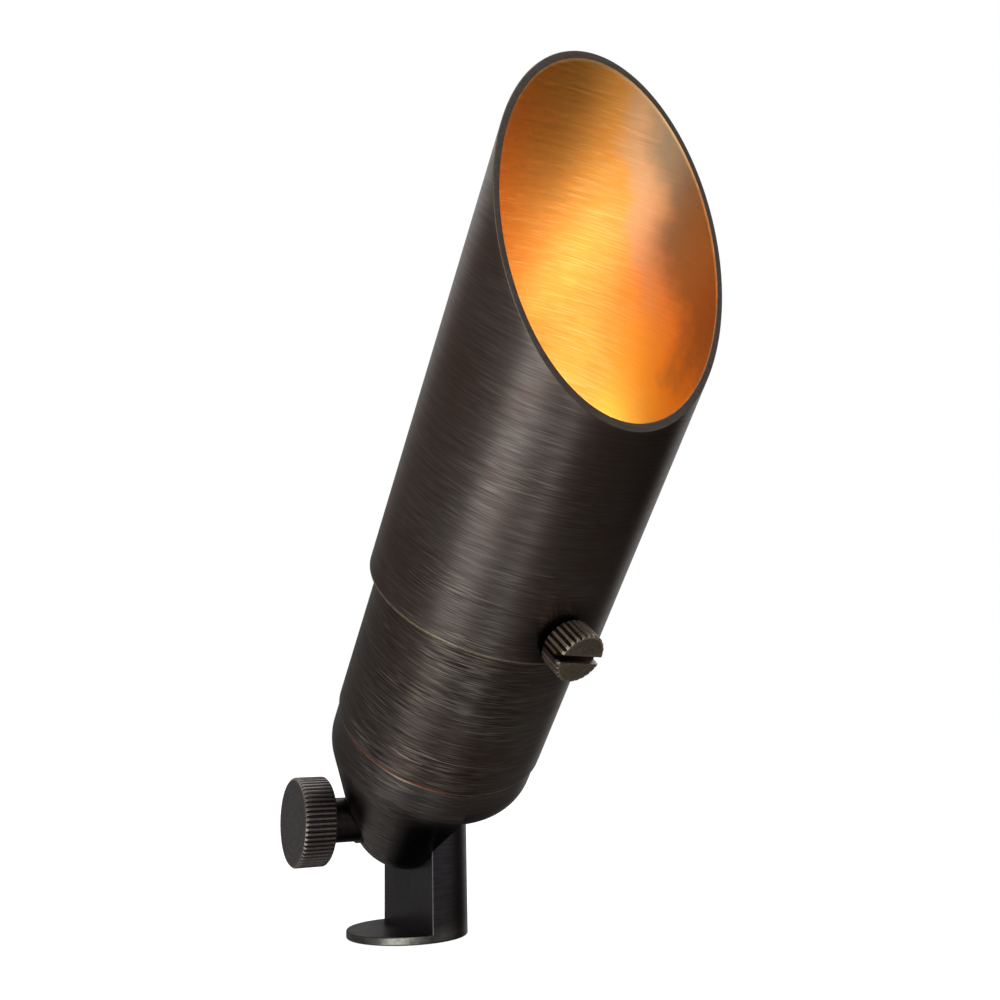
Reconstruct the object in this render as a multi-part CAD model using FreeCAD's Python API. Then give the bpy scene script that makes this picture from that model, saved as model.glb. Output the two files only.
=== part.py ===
import FreeCAD, Part
import math
import os

# A landscape spotlight of turned brass. A half-round post on a round foot carries
# the head on a tilting neck, clamped by a knurled knob. The head is a domed cap, a
# body tube with the lamp behind a lens, and a slant-cut shroud that slides and
# turns on the body and is locked by a knurled thumbscrew.
#
# Lengths are millimetres, angles degrees. The origin is the centre of the foot's
# underside, +Z up. The tilt axis runs along X. The head is modelled upright, from
# the tilt axis upwards, and is then leaned towards -Y and lifted into place.

# General
overrun = 2.0                      # how far a cutting shape passes a surface
running_fit = 0.05                 # radial clearance of a turning or sliding fit
thread_fit = 0.03                  # radial clearance of a closed thread
seat_gap = 0.02                    # clearance beside a piece dropped into its place

# Pose of the head
lean_angle = 42.0                  # head axis from upright, towards -Y
tilt_height = 32.0                 # tilt axis above the foot's underside

# Foot and post
foot_radius = 17.0
foot_thickness = 2.3
foot_edge = 0.5
post_edge = 0.35
post_top_radius = 17.0             # rounded top, about the tilt axis
inlet_offset = 7.4                 # from the post's flat to the wire inlet's axis
stake_thread_radius = 5.1
stake_thread_depth = 12.0
stake_thread_chamfer = 0.8
wire_channel_radius = 3.2
wire_groove_inner = 5.7
wire_groove_outer = 10.4
wire_groove_depth = 6.0

# Swivel joint between post and neck
swivel_washer_radius = 12.9
swivel_washer_thickness = 0.8
swivel_oring_margin = 0.55         # from the washer's edge in to the sealing ring
swivel_oring_width = 1.4
swivel_oring_depth = 1.1
wire_window_radius = 2.2
wire_window_offset = 8.0           # from the tilt axis along the head axis

# Tilt knob
knob_radius = 11.9
knob_width = 8.8
knob_stand_off = 8.1               # of its inner face from the neck's side
knob_teeth = 56
knob_tooth_depth = 0.65
knob_chamfer = 0.55
shank_radius = 6.0
stud_radius = 4.0
stud_reach = 11.8
stud_tip_chamfer = 0.7
stud_hole_depth = 13.2
knob_washer_margin = 0.5           # of the washer's edge beyond the shank
knob_washer_thickness = 1.0
spot_face_depth = 2.5              # of the washer's seat below the neck's side
spot_face_margin = 0.4             # of the seat beyond the washer

# Base cap and its neck
cap_inset = 0.5                    # of the cap's rim within the body's outside
cap_rim_height = 7.87              # straight rim between the blend and the shoulder
cap_rim_round = 0.5
neck_end_radius = 16.9
neck_end_depth = 13.4              # end of the neck below the tilt axis
neck_blend_radius = 11.7
bowl_clearance = 0.9               # between the post's rounded top and the bowl
bowl_height = 16.7                 # of the shoulder above the bowl's underside
bowl_corner_radius = 11.0
spigot_wall = 3.6
spigot_length = 8.0
spigot_chamfer = 0.6
cap_floor_thickness = 3.6
cap_cavity_corner = 2.5
wire_hole_offset = 5.6             # of the neck's wire hole, behind the flat
grommet_hole_radius = 3.7
cap_lip = 0.35                     # outside the sealing ring
cap_oring_width = 1.45
cap_oring_groove = 1.0

# Grommet in the cap's floor
grommet_wall = 1.8
grommet_flange_margin = 1.3        # of the flange beyond the hole
grommet_flange_thickness = 1.2
grommet_depth = 3.0

# Body tube
body_radius = 28.5
body_length = 77.0
body_seam = 0.4                    # open seam between cap and body
body_wall = 2.9
body_edge = 0.55
thread_bore_length = 8.8
lens_seat_depth = 5.8              # of the lens seat below the body's top
lens_bore_wall = 1.3

# Lens stack
gasket_width = 1.3
gasket_thickness = 1.0
lens_thickness = 3.2
lens_edge = 0.4
lens_ring_width = 3.0
lens_ring_proud = 0.5
spanner_slot_width = 3.0
spanner_slot_depth = 1.0

# Lamp
lamp_side_gap = 0.8                # between the lamp's rim and the body's bore
lamp_rim_height = 2.0
lamp_face_gap = 0.6                # between the lamp's cover and the lens
lamp_wall = 1.4
lamp_depth = 29.0                  # from the rim's top to the lamp's neck
lamp_neck_radius = 9.6
lamp_bulge = 3.4                   # how far the bowl swells past a straight cone
cover_thickness = 1.0
burner_radius = 4.4
burner_length = 20.0
lamp_base_radius = 8.0
lamp_base_length = 13.5
pin_radius = 0.75
pin_spacing = 5.33
pin_length = 6.0

# Socket and its bracket
socket_length = 20.0
socket_width = 12.0
socket_height = 14.0
socket_edge = 1.0
contact_wall = 0.7
contact_length = 8.0
bracket_sheet = 0.9
bracket_width = 10.0
bracket_leg_gap = 18.0
bracket_foot = 8.6
bracket_bend = 0.45
bracket_screw_radius = 1.5
bracket_screw_head = 2.8
bracket_screw_head_height = 1.6
bracket_screw_bite = 2.4
screw_slot_width = 0.8
screw_slot_depth = 0.7
rivet_radius = 1.6
rivet_head = 2.7
rivet_head_height = 1.0
rivet_bite = 4.0

# Shroud
shroud_foot_wall = 2.55
shroud_wall = 1.6
shroud_overlap = 34.3              # of the shroud over the body tube
shroud_foot_length = 16.0
shroud_foot_taper = 1.4
shroud_foot_edge = 0.5
shroud_length = 95.3               # from its foot to the mouth plane, on the head axis
mouth_angle = 47.2                 # mouth plane from square to the axis
mouth_turn = 2.8                   # short side's turn from straight forward
mouth_edge = 0.25
ring_height_in_foot = 2.9
ring_section = 1.7

# Thumbscrew
thumb_lift = 7.6                   # of its axis above the shroud's foot
thumb_turn = 8.8                   # its turn from straight forward, towards +X
thumb_head_radius = 6.6
thumb_reach = 7.9                  # of its outer face beyond the shroud's side
thumb_head_length = 6.9
thumb_teeth = 26
thumb_tooth_depth = 0.6
thumb_chamfer = 0.45
thumb_collar_radius = 5.2
thumb_collar_lift = 0.25
thumb_shank_radius = 2.5
thumb_slot_width = 2.0
thumb_slot_depth = 1.9
thumb_slot_roll = -8.5
pad_radius = 2.3
pad_thickness = 0.8

# Shares of the sizes named beside them
tooth_land_share = 0.42            # of a tooth's pitch, flat at its tip
tooth_root_share = 0.20            # of a tooth's pitch, flat at its root
reflector_step_share = 0.5         # of the bowl's depth, where it swells most
round_end_share = 0.45             # of a burner's radius, its domed end's corner

# Radii worked out from the body's and the neck's
body_bore = body_radius - body_wall
lens_bore = body_radius - lens_bore_wall
lens_ring_inner = lens_bore - lens_ring_width
lamp_rim_radius = body_bore - lamp_side_gap
cap_rim_radius = body_radius - cap_inset
cap_oring_outer = cap_rim_radius - cap_lip
spigot_radius = cap_oring_outer - cap_oring_width
cap_cavity_radius = spigot_radius - spigot_wall
grommet_bore = grommet_hole_radius - grommet_wall
grommet_flange_radius = grommet_hole_radius + grommet_flange_margin
foot_bore = body_radius + running_fit
shroud_radius = foot_bore + shroud_foot_wall
shroud_bore = shroud_radius - shroud_wall
swivel_oring_outer = swivel_washer_radius - swivel_oring_margin
swivel_oring_inner = swivel_oring_outer - swivel_oring_width
knob_washer_radius = shank_radius + knob_washer_margin
spot_face_radius = knob_washer_radius + spot_face_margin

# Distances from the post's flat and from the head axis
neck_face = -(swivel_washer_thickness + seat_gap)
spot_face_distance = neck_end_radius - spot_face_depth
washer_outer_face = spot_face_distance + knob_washer_thickness
knob_inner_face = neck_end_radius + knob_stand_off
knob_outer_face = knob_inner_face + knob_width
thumb_head_outer = shroud_radius + thumb_reach
thumb_head_inner = thumb_head_outer - thumb_head_length
thumb_collar_inner = shroud_radius + thumb_collar_lift

# Heights on the head axis, from the tilt axis upwards
bowl_bottom = post_top_radius + bowl_clearance
cap_shoulder = bowl_bottom + bowl_height
cap_floor = bowl_bottom + cap_floor_thickness
neck_blend_x = cap_rim_radius - neck_blend_radius
neck_blend_z = cap_shoulder - cap_rim_height
neck_end_centre = neck_end_radius - neck_end_depth
neck_rise = neck_blend_z - neck_end_centre
flare = math.acos((neck_end_radius - neck_blend_radius) / math.hypot(neck_blend_x, neck_rise))
flare = flare - math.atan2(neck_rise, neck_blend_x)
spigot_top = cap_shoulder + spigot_length
body_bottom = cap_shoulder + body_seam
body_top = body_bottom + body_length
lens_seat = body_top - lens_seat_depth
lens_bottom = lens_seat + gasket_thickness
lens_top = lens_bottom + lens_thickness
lamp_cover_top = lens_bottom - lamp_face_gap
lamp_rim_top = lamp_cover_top - cover_thickness
lamp_neck = lamp_rim_top - lamp_depth
lamp_base_bottom = lamp_neck - lamp_base_length
socket_bottom = lamp_base_bottom - socket_height
shroud_bottom = body_top - shroud_overlap
shroud_foot_top = shroud_bottom + shroud_foot_length
ring_bottom = shroud_bottom + ring_height_in_foot
mouth_height = shroud_bottom + shroud_length
thumb_height = shroud_bottom + thumb_lift

ORIGIN = FreeCAD.Vector(0, 0, 0)
X = FreeCAD.Vector(1, 0, 0)
Y = FreeCAD.Vector(0, 1, 0)
Z = FreeCAD.Vector(0, 0, 1)


# Helpers

def point(x, y, z):
    return FreeCAD.Vector(x, y, z)


def disc(radius, low, high, axis=Z, centre=ORIGIN):
    """A cylinder along axis, from low to high as measured from centre."""
    return Part.makeCylinder(radius, high - low, centre + axis * low, axis)


def ring(outer, inner, low, high, axis=Z, centre=ORIGIN):
    """A plain ring between two radii."""
    hole = disc(inner, low - overrun, high + overrun, axis, centre)
    return disc(outer, low, high, axis, centre).cut(hole)


def block(x_low, x_high, y_low, y_high, z_low, z_high):
    corner = point(x_low, y_low, z_low)
    return Part.makeBox(x_high - x_low, y_high - y_low, z_high - z_low, corner)


def outline(start, steps):
    """Edges in the XZ plane. A step is a point, or an arc as (middle, end)."""
    edges = []
    here = point(start[0], 0, start[1])
    for step in steps:
        if isinstance(step[0], tuple):
            middle = point(step[0][0], 0, step[0][1])
            there = point(step[1][0], 0, step[1][1])
            edges.append(Part.Arc(here, middle, there).toShape())
        else:
            there = point(step[0], 0, step[1])
            edges.append(Part.LineSegment(here, there).toShape())
        here = there
    return edges


def turned(start, steps):
    """A solid of revolution about Z from a closed outline of (radius, height)."""
    face = Part.Face(Part.Wire(outline(start, steps)))
    return face.revolve(ORIGIN, Z, 360)


def arc_middle(centre, radius, start_angle, end_angle):
    """The middle point of an arc in the XZ plane, angles from +X towards +Z."""
    angle = math.radians((start_angle + end_angle) / 2)
    return (centre[0] + radius * math.cos(angle), centre[1] + radius * math.sin(angle))


def along_x(shape):
    """Turns a shape made along +Z so that it runs along -X."""
    turned_shape = shape.copy()
    turned_shape.rotate(ORIGIN, Y, -90)
    return turned_shape


def round_edges(shape, radius, wanted):
    """Fillets the edges that wanted(edge) picks out."""
    edges = [edge for edge in shape.Edges if wanted(edge)]
    return shape.makeFillet(radius, edges)


def chamfer_edges(shape, size, wanted):
    """Bevels the edges that wanted(edge) picks out."""
    edges = [edge for edge in shape.Edges if wanted(edge)]
    return shape.makeChamfer(size, edges)


def circle_at(edge, radius, height):
    """True for a full circle about Z of this radius at this height."""
    if edge.Degenerated or len(edge.Vertexes) != 1:
        return False
    curve = edge.Curve
    if not isinstance(curve, Part.Circle):
        return False
    near = radius * 1e-6
    same_height = abs(curve.Center.z - height) < near
    return abs(curve.Radius - radius) < near and same_height


def knurled(radius, depth, teeth, low, high, chamfer):
    """A straight-knurled disc along +Z with bevelled ends."""
    root = radius - depth
    pitch = 360 / teeth
    points = []
    for tooth in range(teeth):
        middle = tooth * pitch
        half_land = pitch * tooth_land_share / 2
        half_root = pitch * tooth_root_share / 2
        for reach, angle in (
            (radius, middle - half_land),
            (radius, middle + half_land),
            (root, middle + pitch / 2 - half_root),
            (root, middle + pitch / 2 + half_root),
        ):
            turn = math.radians(angle)
            points.append(point(reach * math.cos(turn), reach * math.sin(turn), low))
    face = Part.Face(Part.makePolygon(points + points[:1]))
    star = face.extrude(Z * (high - low))
    blank = turned(
        (0, low),
        [
            (radius - chamfer, low),
            (radius, low + chamfer),
            (radius, high - chamfer),
            (radius - chamfer, high),
            (0, high),
            (0, low),
        ],
    )
    return star.common(blank)


def leaned(shape):
    """Moves a piece of the upright head to its place on the tilt axis."""
    placed = shape.copy()
    placed.rotate(ORIGIN, X, lean_angle)
    placed.translate(Z * tilt_height)
    return placed


def on_thumb_axis(shape):
    """Moves a piece made along +Z so that it points out of the shroud's front."""
    placed = shape.copy()
    placed.rotate(ORIGIN, Y, 90)
    placed.rotate(ORIGIN, Z, thumb_turn - 90)
    placed.translate(Z * thumb_height)
    return placed


# Foot and post

def base_bracket():
    foot = disc(foot_radius, 0, foot_thickness)
    rim = [edge for edge in foot.Edges if circle_at(edge, foot_radius, edge.BoundBox.ZMin)]
    foot = foot.makeFillet(foot_edge, rim)
    column = disc(foot_radius, foot_edge, tilt_height + post_top_radius)
    half = block(0, foot_radius, -foot_radius, foot_radius, 0, tilt_height + post_top_radius)
    post = column.common(half)
    below_axis = block(0, foot_radius, -foot_radius, foot_radius, 0, tilt_height)
    top = disc(post_top_radius, 0, foot_radius, X, Z * tilt_height)
    post = post.common(below_axis.fuse(top).removeSplitter())

    def front_or_back_edge(edge):
        box = edge.BoundBox
        on_flat = box.XMax < post_edge / 2
        return on_flat and box.ZLength > foot_thickness

    post = chamfer_edges(post, post_edge, front_or_back_edge)
    bracket = foot.fuse(post).removeSplitter()
    inlet = point(inlet_offset, 0, 0)
    groove_low = tilt_height - wire_groove_outer
    cuts = [
        disc(stake_thread_radius, -overrun, stake_thread_depth, Z, inlet),
        Part.makeCone(
            stake_thread_radius + stake_thread_chamfer,
            stake_thread_radius,
            stake_thread_chamfer,
            inlet,
            Z,
        ),
        disc(wire_channel_radius, 0, groove_low + wire_channel_radius, Z, inlet),
        ring(wire_groove_outer, wire_groove_inner, -overrun, wire_groove_depth, X,
             Z * tilt_height),
        ring(swivel_oring_outer + seat_gap, swivel_oring_inner - seat_gap, -overrun,
             swivel_oring_depth, X, Z * tilt_height),
        disc(stud_radius + running_fit, -overrun, stud_hole_depth, X, Z * tilt_height),
    ]
    for cut in cuts:
        bracket = bracket.cut(cut)
    return bracket


def swivel_oring():
    return ring(swivel_oring_outer, swivel_oring_inner, 0, swivel_oring_depth, X,
                Z * tilt_height)


# Tilt knob, made along +Z from the post's flat outwards and turned to -X

def tilt_knob():
    head = knurled(knob_radius, knob_tooth_depth, knob_teeth, knob_inner_face,
                   knob_outer_face, knob_chamfer)
    shank = disc(shank_radius, washer_outer_face, knob_inner_face + knob_chamfer)
    stud = disc(stud_radius, -stud_reach, washer_outer_face + knob_chamfer)
    stud = chamfer_edges(stud, stud_tip_chamfer,
                         lambda edge: circle_at(edge, stud_radius, -stud_reach))
    knob = head.fuse(shank).fuse(stud).removeSplitter()
    knob = along_x(knob)
    knob.translate(Z * tilt_height)
    return knob


def knob_washer():
    washer = ring(knob_washer_radius, stud_radius + running_fit, spot_face_distance,
                  washer_outer_face)
    washer = along_x(washer)
    washer.translate(Z * tilt_height)
    return washer


# Base cap: one turned dome with a flared neck on the knob's side of the flat

def neck_side():
    """The full turned form whose knob-side half becomes the neck."""
    end_centre = (0, neck_end_centre)
    blend_centre = (neck_blend_x, neck_blend_z)
    angle = math.degrees(flare)
    tangent_low = (neck_end_radius * math.cos(flare),
                   neck_end_centre - neck_end_radius * math.sin(flare))
    tangent_high = (neck_blend_x + neck_blend_radius * math.cos(flare),
                    neck_blend_z - neck_blend_radius * math.sin(flare))
    return turned(
        (0, -neck_end_depth),
        [
            (arc_middle(end_centre, neck_end_radius, -90, -angle), tangent_low),
            tangent_high,
            (arc_middle(blend_centre, neck_blend_radius, -angle, 0),
             (cap_rim_radius, neck_blend_z)),
            (cap_rim_radius, cap_shoulder),
            (0, cap_shoulder),
            (0, -neck_end_depth),
        ],
    )


def bowl_side():
    """The shallower dome on the post's side, with the spigot on top."""
    corner_x = cap_rim_radius - bowl_corner_radius
    corner_z = bowl_bottom + bowl_corner_radius
    corner = arc_middle((corner_x, corner_z), bowl_corner_radius, -90, 0)
    return turned(
        (0, bowl_bottom),
        [
            (corner_x, bowl_bottom),
            (corner, (cap_rim_radius, corner_z)),
            (cap_rim_radius, cap_shoulder),
            (spigot_radius, cap_shoulder),
            (spigot_radius, spigot_top - spigot_chamfer),
            (spigot_radius - spigot_chamfer, spigot_top),
            (0, spigot_top),
            (0, bowl_bottom),
        ],
    )


def cap_cavity():
    top = spigot_top + overrun
    corner = cap_cavity_corner
    return turned(
        (0, cap_floor),
        [
            (cap_cavity_radius - corner, cap_floor),
            (arc_middle((cap_cavity_radius - corner, cap_floor + corner), corner, -90, 0),
             (cap_cavity_radius, cap_floor + corner)),
            (cap_cavity_radius, top),
            (0, top),
            (0, cap_floor),
        ],
    )


def base_cap():
    reach = cap_rim_radius + overrun
    neck_half = block(-reach, neck_face, -reach, reach, -neck_end_depth - overrun,
                      cap_shoulder)

    def rim(edge):
        return circle_at(edge, cap_rim_radius, cap_shoulder)

    neck = round_edges(neck_side(), cap_rim_round, rim).common(neck_half)
    bowl = round_edges(bowl_side(), cap_rim_round, rim)
    cap = neck.fuse(bowl).removeSplitter()
    wire_hole = point(-wire_hole_offset, 0, 0)
    pilot = bracket_screw_radius
    cuts = [
        cap_cavity(),
        ring(cap_oring_outer + seat_gap, spigot_radius, cap_shoulder - cap_oring_groove,
             cap_shoulder + overrun),
        disc(stud_radius + running_fit, -overrun, spot_face_distance + overrun, -X),
        disc(spot_face_radius, spot_face_distance, reach, -X),
        disc(wire_window_radius, wire_window_offset, cap_floor + overrun, Z, wire_hole),
        disc(wire_window_radius, 0, wire_hole_offset + overrun, X,
             point(-wire_hole_offset, 0, wire_window_offset)),
        disc(grommet_hole_radius, cap_floor - grommet_depth, cap_floor + overrun, Z,
             wire_hole),
    ]
    for side in (-1, 1):
        seat = point(0, side * screw_offset(), 0)
        cuts.append(disc(pilot, cap_floor - bracket_screw_bite, cap_floor + overrun, Z, seat))
    for cut in cuts:
        cap = cap.cut(cut)
    return leaned(cap)


def swivel_washer():
    plate = disc(swivel_washer_radius, 0, swivel_washer_thickness, -X)
    plate = plate.cut(disc(stud_radius + running_fit, -overrun,
                           swivel_washer_thickness + overrun, -X))
    window = disc(wire_window_radius, -overrun, swivel_washer_thickness + overrun, -X,
                  Z * wire_window_offset)
    plate = plate.cut(window)
    plate.translate(-X * seat_gap)
    return leaned(plate)


def cap_oring():
    low = cap_shoulder - cap_oring_groove
    return leaned(ring(cap_oring_outer, spigot_radius, low, body_bottom))


def wire_grommet():
    low = cap_floor - grommet_depth
    body = disc(grommet_hole_radius - seat_gap, low, cap_floor)
    flange = disc(grommet_flange_radius, cap_floor,
                  cap_floor + grommet_flange_thickness)
    bore = disc(grommet_bore, low - overrun, cap_floor + grommet_flange_thickness + overrun)
    grommet = body.fuse(flange).cut(bore)
    grommet.translate(-X * wire_hole_offset)
    return leaned(grommet)


# Socket bracket, socket and lamp

def screw_offset():
    """Distance of a bracket screw from the head axis."""
    return bracket_leg_gap / 2 + bracket_sheet + bracket_foot / 2


def socket_bracket():
    half = bracket_leg_gap / 2
    outer = half + bracket_sheet
    tip = outer + bracket_foot
    top = socket_bottom
    points = [
        (-tip, cap_floor), (-half, cap_floor), (-half, top - bracket_sheet),
        (half, top - bracket_sheet), (half, cap_floor), (tip, cap_floor),
        (tip, cap_floor + bracket_sheet), (outer, cap_floor + bracket_sheet),
        (outer, top), (-outer, top), (-outer, cap_floor + bracket_sheet),
        (-tip, cap_floor + bracket_sheet),
    ]
    corners = [point(-bracket_width / 2, y, z) for y, z in points]
    face = Part.Face(Part.makePolygon(corners + corners[:1]))
    strap = face.extrude(X * bracket_width)

    def bend(edge):
        box = edge.BoundBox
        runs_across = box.XLength > bracket_width - bracket_sheet
        inner_y = abs(abs(box.YMin) - outer) < bracket_sheet / 4
        return runs_across and inner_y and box.ZMin > top - bracket_sheet / 2

    strap = round_edges(strap, bracket_bend, bend)
    for side in (-1, 1):
        strap = strap.cut(disc(bracket_screw_radius + seat_gap, cap_floor - overrun,
                               cap_floor + bracket_sheet + overrun, Z,
                               point(0, side * screw_offset(), 0)))
    strap = strap.cut(disc(rivet_radius + seat_gap, top - bracket_sheet - overrun,
                           top + overrun))
    return leaned(strap)


def slotted_screw(radius, head, head_height, bite, seat):
    """A pan-head screw standing on the height seat, its shank below."""
    screw = disc(radius - seat_gap, seat - bite, seat).fuse(disc(head, seat, seat + head_height))
    slot = block(-screw_slot_width / 2, screw_slot_width / 2, -head, head,
                 seat + head_height - screw_slot_depth, seat + head_height + overrun)
    return screw.cut(slot)


def bracket_screws():
    seat = cap_floor + bracket_sheet
    screws = []
    for side in (-1, 1):
        screw = slotted_screw(bracket_screw_radius, bracket_screw_head,
                              bracket_screw_head_height,
                              bracket_screw_bite + bracket_sheet, seat)
        screw.translate(Y * (side * screw_offset()))
        screws.append(leaned(screw))
    return Part.Compound(screws)


def socket_rivet():
    seat = socket_bottom - bracket_sheet
    rivet = disc(rivet_radius, seat, socket_bottom + rivet_bite)
    rivet = rivet.fuse(disc(rivet_head, seat - rivet_head_height, seat))
    return leaned(rivet.removeSplitter())


def lamp_socket():
    body = block(-socket_width / 2, socket_width / 2, -socket_length / 2,
                 socket_length / 2, socket_bottom, lamp_base_bottom)
    body = round_edges(body, socket_edge,
                       lambda edge: edge.BoundBox.ZLength > socket_height / 2)
    body = body.cut(disc(rivet_radius, socket_bottom - overrun, socket_bottom + rivet_bite))
    for side in (-1, 1):
        centre = point(0, side * pin_spacing / 2, 0)
        body = body.cut(disc(contact_outer(), lamp_base_bottom - contact_length,
                             lamp_base_bottom + overrun, Z, centre))
    return leaned(body)


def contact_outer():
    return pin_radius + seat_gap + contact_wall


def socket_contacts():
    contacts = []
    for side in (-1, 1):
        tube = ring(contact_outer(), pin_radius + seat_gap,
                    lamp_base_bottom - contact_length, lamp_base_bottom, Z,
                    point(0, side * pin_spacing / 2, 0))
        contacts.append(leaned(tube))
    return Part.Compound(contacts)


def lamp_pins():
    pins = []
    for side in (-1, 1):
        pin = disc(pin_radius, lamp_base_bottom - pin_length, lamp_base_bottom, Z,
                   point(0, side * pin_spacing / 2, 0))
        pins.append(leaned(pin))
    return Part.Compound(pins)


def lamp_base():
    """A flat tongue that carries the pins, under a round neck."""
    collar = disc(lamp_base_radius, (lamp_base_bottom + lamp_neck) / 2, lamp_neck)
    tongue = disc(lamp_base_radius, lamp_base_bottom, lamp_neck)
    flats = block(-lamp_base_radius / 2, lamp_base_radius / 2, -lamp_base_radius,
                  lamp_base_radius, lamp_base_bottom, lamp_neck)
    return leaned(tongue.common(flats).fuse(collar).removeSplitter())


def lamp_reflector():
    outer_neck = lamp_neck_radius
    inner_neck = lamp_neck_radius - lamp_wall
    inner_rim = lamp_rim_radius - lamp_wall
    low = lamp_neck
    top = lamp_rim_top
    shoulder = top - lamp_rim_height
    mid_height = low + (shoulder - low) * reflector_step_share
    mid_outer = (outer_neck + lamp_rim_radius) / 2 + lamp_bulge
    mid_inner = mid_outer - lamp_wall
    return leaned(turned(
        (outer_neck, low),
        [
            ((mid_outer, mid_height), (lamp_rim_radius, shoulder)),
            (lamp_rim_radius, top),
            (inner_rim, top),
            (inner_rim, shoulder),
            ((mid_inner, mid_height + lamp_wall), (inner_neck, low + lamp_wall)),
            (0, low + lamp_wall),
            (0, low),
            (outer_neck, low),
        ],
    ))


def lamp_cover():
    return leaned(disc(lamp_rim_radius, lamp_rim_top, lamp_cover_top))


def lamp_burner():
    low = lamp_neck + lamp_wall
    capsule = disc(burner_radius, low, low + burner_length)
    capsule = round_edges(capsule, burner_radius * round_end_share,
                          lambda edge: circle_at(edge, burner_radius, low + burner_length))
    return leaned(capsule)


# Body tube and lens

def body_tube():
    bore_top = body_bottom + thread_bore_length
    tube = turned(
        (spigot_radius + thread_fit, body_bottom),
        [
            (body_radius, body_bottom),
            (body_radius, body_top),
            (lens_bore, body_top),
            (lens_bore, lens_seat),
            (body_bore, lens_seat),
            (body_bore, bore_top),
            (spigot_radius + thread_fit, bore_top),
            (spigot_radius + thread_fit, body_bottom),
        ],
    )
    tube = round_edges(tube, body_edge,
                       lambda edge: circle_at(edge, body_radius, body_bottom)
                       or circle_at(edge, body_radius, body_top))
    return leaned(tube)


def lens_gasket():
    outer = lens_bore - seat_gap
    return leaned(ring(outer, outer - gasket_width, lens_seat, lens_bottom))


def lens():
    glass = disc(lens_bore - seat_gap, lens_bottom, lens_top)
    glass = chamfer_edges(glass, lens_edge, lambda edge: isinstance(edge.Curve, Part.Circle))
    return leaned(glass)


def lens_ring():
    top = body_top + lens_ring_proud
    outer = lens_bore - thread_fit
    collar = ring(outer, lens_ring_inner, lens_top, top)
    slots = block(-spanner_slot_width / 2, spanner_slot_width / 2, -outer - overrun,
                  outer + overrun, top - spanner_slot_depth, top + overrun)
    return leaned(collar.cut(slots))


# Shroud, its friction ring and the thumbscrew

def mouth_cutter():
    """Everything above the slanted mouth plane."""
    half = 2 * mouth_height
    slab = block(-half, half, -half, half, 0, half)
    slab.rotate(ORIGIN, X, mouth_angle)
    slab.rotate(ORIGIN, Z, mouth_turn)
    slab.translate(Z * mouth_height)
    return slab


def shroud():
    top = 2 * mouth_height
    tube = turned(
        (foot_bore, shroud_bottom),
        [
            (shroud_radius, shroud_bottom),
            (shroud_radius, top),
            (shroud_bore, top),
            (shroud_bore, shroud_foot_top + shroud_foot_taper),
            (foot_bore, shroud_foot_top),
            (foot_bore, shroud_bottom),
        ],
    )
    tube = tube.cut(mouth_cutter())

    def mouth_rim(edge):
        closed = len(edge.Vertexes) == 1
        return closed and edge.BoundBox.ZLength > shroud_radius

    tube = round_edges(tube, mouth_edge, mouth_rim)
    tube = round_edges(tube, shroud_foot_edge,
                       lambda edge: circle_at(edge, shroud_radius, shroud_bottom))
    groove = ring(foot_bore + ring_section, foot_bore - overrun, ring_bottom,
                  ring_bottom + ring_section)
    hole = on_thumb_axis(disc(thumb_shank_radius + running_fit, foot_bore - overrun,
                              shroud_radius + overrun))
    return leaned(tube.cut(groove).cut(hole))


def shroud_ring():
    outer = foot_bore + ring_section - running_fit
    return leaned(ring(outer, foot_bore, ring_bottom + running_fit,
                       ring_bottom + ring_section - running_fit))


def thumbscrew():
    head = knurled(thumb_head_radius, thumb_tooth_depth, thumb_teeth, thumb_head_inner,
                   thumb_head_outer, thumb_chamfer)
    collar = disc(thumb_collar_radius, thumb_collar_inner, thumb_head_inner + thumb_chamfer)
    tip = body_radius + running_fit + pad_thickness + seat_gap
    shank = disc(thumb_shank_radius, tip, thumb_collar_inner + thumb_chamfer)
    slot = block(-thumb_slot_width / 2, thumb_slot_width / 2,
                 -thumb_head_radius - overrun, thumb_head_radius + overrun,
                 thumb_head_outer - thumb_slot_depth, thumb_head_outer + overrun)
    slot.rotate(ORIGIN, Z, thumb_slot_roll)
    screw = head.fuse(collar).fuse(shank).cut(slot).removeSplitter()
    return leaned(on_thumb_axis(screw))


def thumb_pad():
    low = body_radius + running_fit
    return leaned(on_thumb_axis(disc(pad_radius, low, low + pad_thickness)))


# Every piece by its name

PIECES = {
    "base_bracket": base_bracket,
    "swivel_oring": swivel_oring,
    "tilt_knob": tilt_knob,
    "knob_washer": knob_washer,
    "base_cap": base_cap,
    "swivel_washer": swivel_washer,
    "cap_oring": cap_oring,
    "wire_grommet": wire_grommet,
    "socket_bracket": socket_bracket,
    "bracket_screws": bracket_screws,
    "socket_rivet": socket_rivet,
    "lamp_socket": lamp_socket,
    "socket_contacts": socket_contacts,
    "lamp_pins": lamp_pins,
    "lamp_base": lamp_base,
    "lamp_reflector": lamp_reflector,
    "lamp_burner": lamp_burner,
    "lamp_cover": lamp_cover,
    "body_tube": body_tube,
    "lens_gasket": lens_gasket,
    "lens": lens,
    "lens_ring": lens_ring,
    "shroud": shroud,
    "shroud_ring": shroud_ring,
    "thumbscrew": thumbscrew,
    "thumb_pad": thumb_pad,
}

os.makedirs("parts", exist_ok=True)
for name, build in PIECES.items():
    shape = build()
    if not shape.isValid():
        print("not valid:", name)
    shape.exportStep("parts/" + name + ".step")
    print(name, len(shape.Solids), round(shape.Volume))
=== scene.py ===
import math

import bmesh
import bpy
from mathutils import Matrix, Vector


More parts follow.
